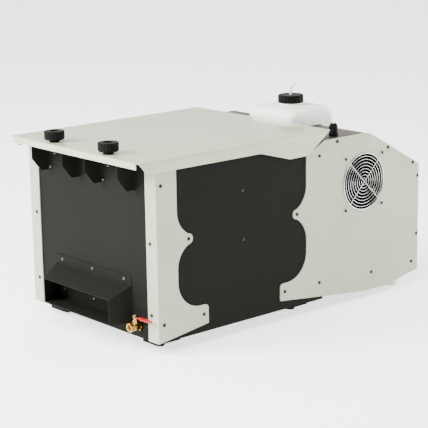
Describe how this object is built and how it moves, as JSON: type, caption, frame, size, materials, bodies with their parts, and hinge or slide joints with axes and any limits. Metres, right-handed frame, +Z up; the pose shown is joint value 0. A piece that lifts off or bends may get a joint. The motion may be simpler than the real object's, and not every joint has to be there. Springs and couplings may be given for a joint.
{
  "type": "low-lying fog machine",
  "caption": "Low-lying fog machine with a lidded ice chest, front outlet hood, brass drain valve, rear fan housing and a fluid tank fed by a clear hose.",
  "frame": {"origin": "on the ground under the centre of the whole machine's box", "axes": "+Z up, the fog outlet faces -Y, the fan and the drain valve are on the +X side"},
  "size_m": [0.4052, 0.748, 0.4348],
  "materials": {
    "grey_paint": "light warm grey powder coat, satin",
    "lid_paint": "light grey enamel, semi-gloss",
    "black_paint": "black powder coat, fine texture, matt",
    "deck_paint": "dark brown grey powder coat, matt",
    "black_plastic": "moulded black plastic, matt",
    "tank_plastic": "natural white polyethylene, translucent",
    "hose_plastic": "clear soft tube",
    "foot_cream": "cream rubber",
    "black_rubber": "black rubber",
    "foam": "rigid foam board",
    "liner_plastic": "moulded white plastic liner",
    "zinc_steel": "zinc plated steel",
    "guard_chrome": "bright chrome wire",
    "screw_dark": "black oxide steel",
    "valve_brass": "turned brass",
    "lever_red": "red dipped lever",
    "heater_alloy": "cast aluminium",
    "board_green": "circuit board",
    "button_grey": "grey plastic keys",
    "rocker_red": "red rocker"
  },
  "bodies": {
    "root": {"base_pan": "black_paint", "corner_plates": "black_paint", "chest_feet": "black_rubber", "rear_feet": "foot_cream", "front_panel": "black_paint", "side_panel_left": "black_paint", "side_panel_right": "black_paint", "bulkhead": "black_paint", "insulation": "foam", "liner": "liner_plastic", "ice_tray": "zinc_steel", "corner_column_left": "grey_paint", "corner_column_right": "grey_paint", "outlet_hood": "black_paint", "lid_brackets": "black_paint", "hinge_leaf_fixed": "zinc_steel", "hinge_pin": "zinc_steel", "valve_body": "valve_brass", "valve_locknuts": "valve_brass", "housing_side_left": "grey_paint", "housing_side_right": "grey_paint", "deck_cover": "deck_paint", "rear_panel": "black_paint", "housing_floor": "black_paint", "tank_well": "deck_paint", "hose": "hose_plastic", "hose_gland": "black_plastic", "gland_nut": "black_plastic", "fan_guard": "guard_chrome", "fan_frame": "black_plastic", "heater_block": "heater_alloy", "fog_pipe": "valve_brass", "pump": "black_plastic", "control_board": "board_green", "power_inlet": "black_plastic", "power_switch": "black_plastic", "signal_input": "zinc_steel", "signal_output": "zinc_steel", "display_module": "black_plastic", "screws_dark": "screw_dark", "screws_bright": "zinc_steel"},
    "lid": {"lid": "lid_paint", "lid_gasket": "black_rubber", "lid_insulation": "foam", "hinge_leaf_moving": "zinc_steel"},
    "knob_left": {"knob_left": "black_plastic", "stud_left": "zinc_steel"},
    "knob_right": {"knob_right": "black_plastic", "stud_right": "zinc_steel"},
    "valve_handle": {"valve_ball": "zinc_steel", "valve_lever": "lever_red", "valve_stem_nut": "valve_brass"},
    "fan": {"fan_rotor": "black_plastic"},
    "tank": {"tank": "tank_plastic"},
    "tank_cap": {"tank_cap": "black_plastic"},
    "rocker": {"power_rocker": "rocker_red"},
    "button_menu": {"button_menu": "button_grey"},
    "button_up": {"button_up": "button_grey"},
    "button_down": {"button_down": "button_grey"}
  },
  "joints": [
    {"name": "lid_hinge", "type": "hinge", "parent": "root", "child": "lid", "pos_m": [0, 0.095, 0.357], "axis": [-1, 0, 0], "range_deg": [0, 95]},
    {"name": "knob_left_turn", "type": "hinge", "parent": "lid", "child": "knob_left", "pos_m": [-0.085, -0.349, 0.364], "axis": [0, 0, 1], "continuous": true},
    {"name": "knob_right_turn", "type": "hinge", "parent": "lid", "child": "knob_right", "pos_m": [0.085, -0.349, 0.364], "axis": [0, 0, 1], "continuous": true},
    {"name": "valve_turn", "type": "hinge", "parent": "root", "child": "valve_handle", "pos_m": [0.141, -0.342, 0.047], "axis": [0, 0, 1], "range_deg": [-90, 0]},
    {"name": "fan_spin", "type": "hinge", "parent": "root", "child": "fan", "pos_m": [0.185, 0.202, 0.246], "axis": [1, 0, 0], "continuous": true},
    {"name": "tank_lift", "type": "slide", "parent": "root", "child": "tank", "axis": [0, 0, 1], "range_m": [0, 0.06], "deforming": ["hose"]},
    {"name": "tank_cap_turn", "type": "hinge", "parent": "tank", "child": "tank_cap", "pos_m": [0, 0.191, 0.395], "axis": [0, 0, 1], "continuous": true},
    {"name": "power_rocker_tilt", "type": "hinge", "parent": "root", "child": "rocker", "pos_m": [-0.085, 0.365, 0.1], "axis": [1, 0, 0], "range_deg": [-16, 0]},
    {"name": "button_menu_press", "type": "slide", "parent": "root", "child": "button_menu", "axis": [0, -1, 0], "range_m": [0, 0.0015], "stiffness_N_per_m": 300},
    {"name": "button_up_press", "type": "slide", "parent": "root", "child": "button_up", "axis": [0, -1, 0], "range_m": [0, 0.0015], "stiffness_N_per_m": 300},
    {"name": "button_down_press", "type": "slide", "parent": "root", "child": "button_down", "axis": [0, -1, 0], "range_m": [0, 0.0015], "stiffness_N_per_m": 300}
  ]
}
